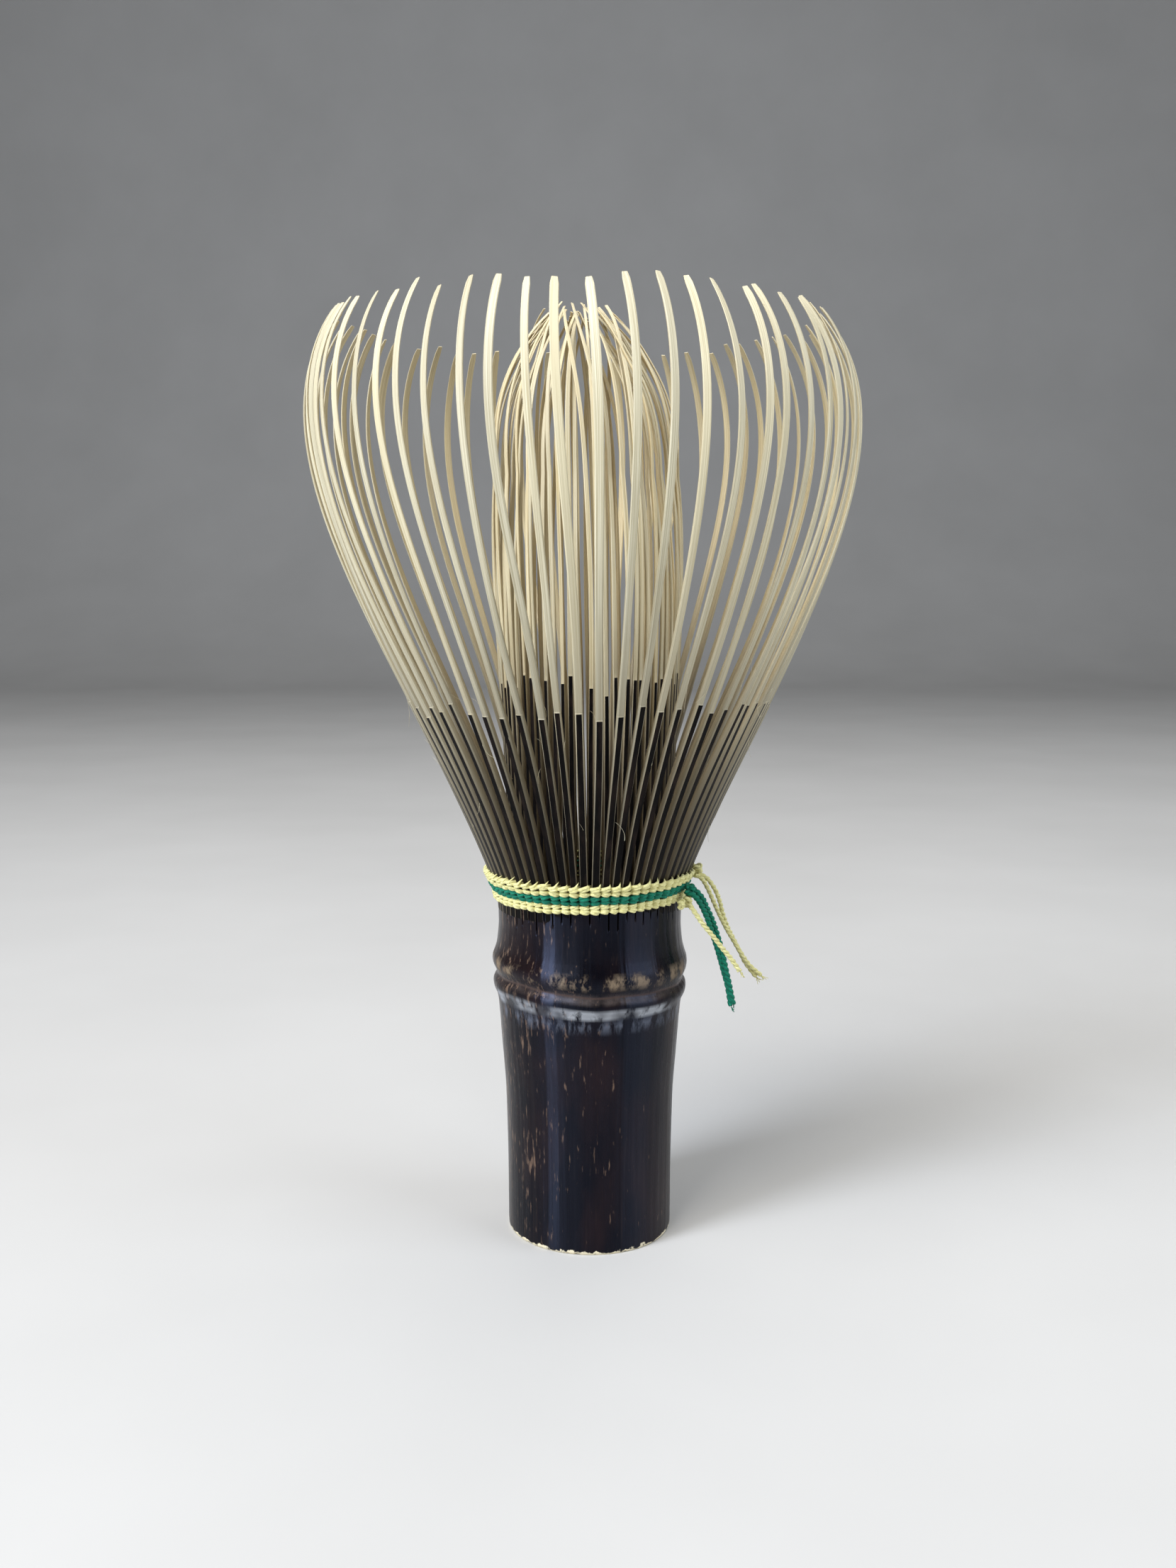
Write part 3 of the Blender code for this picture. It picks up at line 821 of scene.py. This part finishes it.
def add_handle(finishes):
    """The culm as one turned skin: node ridges, out-of-round wander, slots, bore and septum."""
    columns = TINES * COLUMNS_PER_TINE
    angles = np.linspace(0, 2 * math.pi, columns, endpoint=False)
    rows = np.concatenate([np.linspace(*stretch) for stretch in CULM_ROWS])
    radii, levels = culm_surface(rows, angles)
    cut_slots(radii, rows, angles)

    # From the septum's underside down the bore, up the outside and down the hollow to the septum
    level = np.ones(columns)
    bore = [(radius * level, height * level) for height, radius in reversed(CULM_BORE)]
    skin = [(radii[row], height * level) for row, height in enumerate(rows)]
    hollow = [(radius * level, height * level) for height, radius in CULM_HOLLOW]
    reach, heights = np.moveaxis(np.array(bore + skin + hollow), 1, 0) * MM
    rise = heights.copy()
    rise[len(bore):len(bore) + len(rows)] = levels * MM
    points = np.stack((reach * np.sin(angles), -reach * np.cos(angles), heights), -1)
    skin_start = len(bore)
    skin_end = skin_start + len(rows) - 1
    part = {
        "rings": points, "rise": rise, "cap": 1,
        "paint": lambda station, column: np.where((station < skin_start) | (station >= skin_end), 1, 0),
    }
    mesh = sweep([part], "culm", (finishes["culm"], finishes["wall"]))
    culm = add_piece("culm", mesh, CULM_SHARP_ANGLE)
    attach(culm, "whisk")
    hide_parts("handle")


# ---------------------------------------------------------------- lashing

def lashing_tilt(angles):
    return LASHING_TILT * np.sin(angles - LASHING_TILT_START)


def woven_strand(height, face, first, slant):
    """One strand of a row, fat in front of every other tine and pinched behind the ones between:
    its route, its radius and its twist at every point."""
    angles = np.linspace(0, 2 * math.pi, TINES * STEPS_PER_TINE + 1)
    exact = all_tine_angles()
    exact = np.array([exact[-1] - 2 * math.pi] + exact + [exact[0] + 2 * math.pi])
    phase = math.pi * np.interp(angles, exact, np.arange(-1, TINES + 1)) + first * math.pi
    swing = np.tanh(1.25 * np.cos(phase)) / math.tanh(1.25)
    outside = face + STRAND_RADIUS * 1.15
    behind = face - TINE_DEPTH - STRAND_RADIUS
    radii = (outside + behind) / 2 + (outside - behind) / 2 * swing
    knotwork = np.interp(angles, exact, rng.normal(0, 1, len(exact)))
    fatness = (0.62 + 0.5 * smoothstep(0.5 + 0.6 * np.cos(phase))) * (1 + 0.09 * knotwork)
    unevenness = 0.035 * np.sin(angles * 13 + height) + 0.03 * np.sin(angles * 29 + 2 * height)
    heights = height + slant * 0.1 * np.sin(phase) + unevenness + 0.04 * knotwork + lashing_tilt(angles)
    route = np.stack((radii * np.sin(angles), -radii * np.cos(angles), heights), -1) * MM
    return route, STRAND_RADIUS * MM * fatness, phase / 2


def ears():
    """Where the top row turns over, a small pointed loop stands up at the end of each stitch."""
    _, height, face = ROWS[-1]
    steps = np.linspace(0, 1, 7)
    parts = []
    for azimuth in all_tine_angles():
        size = rng.uniform(0.6, 1.15)
        start = azimuth + rng.uniform(0.1, 0.25) / face
        angles = start + 0.42 * size * steps / face
        radii = face + 0.42 - 0.5 * steps ** 1.5
        heights = height + 0.14 + lashing_tilt(angles) + 0.62 * size * steps ** 1.2
        route = np.stack((radii * np.sin(angles), -radii * np.cos(angles), heights), -1) * MM
        parts.append({"rings": tube(route, (0.2 - 0.16 * steps) * MM, 7), "seed": rng.uniform(0, 9)})
    return parts


def add_lashing(finishes):
    """Three woven bands of two rows each, every row a pair of strands that pass in turn."""
    for thread in ("lashing_lower_yellow", "lashing_green", "lashing_upper_yellow"):
        finish = "green" if "green" in thread else "yellow"
        parts = []
        for index, (name, height, face) in enumerate(ROWS):
            if name == thread:
                slant = 1 if index % 2 else -1
                for first in (0, 1):
                    route, radius, phase = woven_strand(height, face, first, slant)
                    turns = slant * phase + rng.uniform(1.1, 1.6)
                    for rings in plies(route, radius, turns, sides=8):
                        parts.append({"rings": rings, "seed": rng.uniform(0, 9)})
        if thread == "lashing_upper_yellow":
            parts += ears()
        rows = add_piece(f"{thread}_rows", sweep(parts, thread, (finishes[finish],)))
        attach(rows, "whisk")
        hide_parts(thread)


def frayed(point, direction, spread, length, count):
    """Loose fibres fanning out of a cut end."""
    parts = []
    steps = np.linspace(0, 1, 6)[:, None]
    for _ in range(count):
        aim = unit(direction + rng.normal(0, spread, 3))
        bend = rng.normal(0, 0.25, 3)
        route = point + (aim * steps + bend * steps ** 2) * length * rng.uniform(0.5, 1.1)
        parts.append({"rings": tube(route, FIBRE_RADIUS * MM, 4), "seed": rng.uniform(0, 9)})
    return parts


def two_ply(route, radius, pitch):
    """Parts for sweep() of an evenly twisted strand, its radius and pitch in millimetres."""
    return [{"rings": rings, "seed": rng.uniform(0, 9)}
            for rings in plies(route, radius * MM, even_twist(route, pitch))]


def loose_end(controls, radius, fibres):
    """A two-ply thread end along given points, with its fibres open at the cut."""
    route = smooth_route(controls, 150)
    direction = unit(route[-1] - route[-4])
    return two_ply(route, radius, END_PITCH) + frayed(route[-1], direction, 0.16, 0.8 * MM, fibres)


def overhand_knot(centre, size, radius):
    """A pulled-tight overhand knot."""
    turn = np.linspace(0, 2 * math.pi, 120)
    shape = np.stack((-1.4 * np.sin(3 * turn), np.sin(turn) + 1.7 * np.sin(2 * turn),
                      np.cos(turn) - 1.7 * np.cos(2 * turn)), -1)
    return two_ply(np.array(centre) * MM + shape * size * MM / 2.9, radius, KNOT_PITCH)


def add_thread_ends(finishes):
    """The threads' hanging ends and the knots that they leave from."""
    for thread, strands in THREAD_ENDS.items():
        finish = "green" if thread == "green" else "yellow"
        parts = []
        for controls, radius in strands:
            parts += loose_end(controls, radius, 4 if thread == "green" else 9)
        loose = add_piece(f"thread_end_{thread}", sweep(parts, thread, (finishes[finish],)))
        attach(loose, "whisk")
        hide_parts(f"tail_{thread}")
        parts = []
        for centre, size, radius in KNOTS[thread]:
            parts += overhand_knot(centre, size, radius)
        tied = add_piece(f"thread_knot_{thread}", sweep(parts, thread, (finishes[finish],)))
        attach(tied, "whisk")
        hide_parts(f"knot_{thread}")


# ---------------------------------------------------------------- studio

def add_backdrop():
    """A pale floor that curves up behind the whisk."""
    bend = np.linspace(0, math.pi / 2, 13)
    line = [(BACKDROP_FRONT, 0.0)]
    line += [(BACKDROP_DEPTH + BACKDROP_CORNER * math.sin(angle),
              BACKDROP_CORNER - BACKDROP_CORNER * math.cos(angle)) for angle in bend]
    line.append((BACKDROP_DEPTH + BACKDROP_CORNER, BACKDROP_RISE))
    points = [(x, y, z) for y, z in line for x in (-BACKDROP_HALF_WIDTH, BACKDROP_HALF_WIDTH)]
    faces = [(2 * i, 2 * i + 1, 2 * i + 3, 2 * i + 2) for i in range(len(line) - 1)]
    mesh = bpy.data.meshes.new("backdrop")
    mesh.from_pydata(points, [], faces)
    mesh.materials.append(stage_material())
    mesh.polygons.foreach_set("use_smooth", np.ones(len(faces), bool))
    add_piece("backdrop", mesh)


def add_lights():
    """Large softboxes aimed at the whisk, and a dim even room."""
    for name, position, (width, length), power, tint in SOFTBOXES:
        light = bpy.data.lights.new(name, "AREA")
        light.shape = "RECTANGLE"
        light.size = width
        light.size_y = length
        light.energy = power
        light.color = tint
        lamp = bpy.data.objects.new(name, light)
        lamp.location = position
        aim = np.array(LIGHT_TARGET) - np.array(position)
        flat = math.hypot(aim[0], aim[1])
        lamp.rotation_euler = (math.atan2(flat, -aim[2]), 0, math.atan2(-aim[0], aim[1]))
        bpy.context.scene.collection.objects.link(lamp)
    world = bpy.data.worlds.new("studio")
    world.use_nodes = True
    background = world.node_tree.nodes["Background"]
    background.inputs["Color"].default_value = ROOM_COLOUR
    background.inputs["Strength"].default_value = ROOM_STRENGTH
    bpy.context.scene.world = world


def main():
    add_camera()
    finishes = {
        "outer": flesh_material("outer_flesh", *OUTER_STRAW),
        "inner": flesh_material("inner_flesh", *INNER_STRAW),
        "wall": flesh_material("wall_flesh", *WALL_STRAW),
        "skin": skin_material("tine_skin", *TINE_SKIN),
        "culm": culm_material(),
        "yellow": thread_material("yellow_thread", *YELLOW_COTTON),
        "green": thread_material("green_thread", *GREEN_COTTON),
    }
    add_handle(finishes)
    add_tines(finishes)
    add_lashing(finishes)
    add_thread_ends(finishes)
    add_backdrop()
    add_lights()


main()
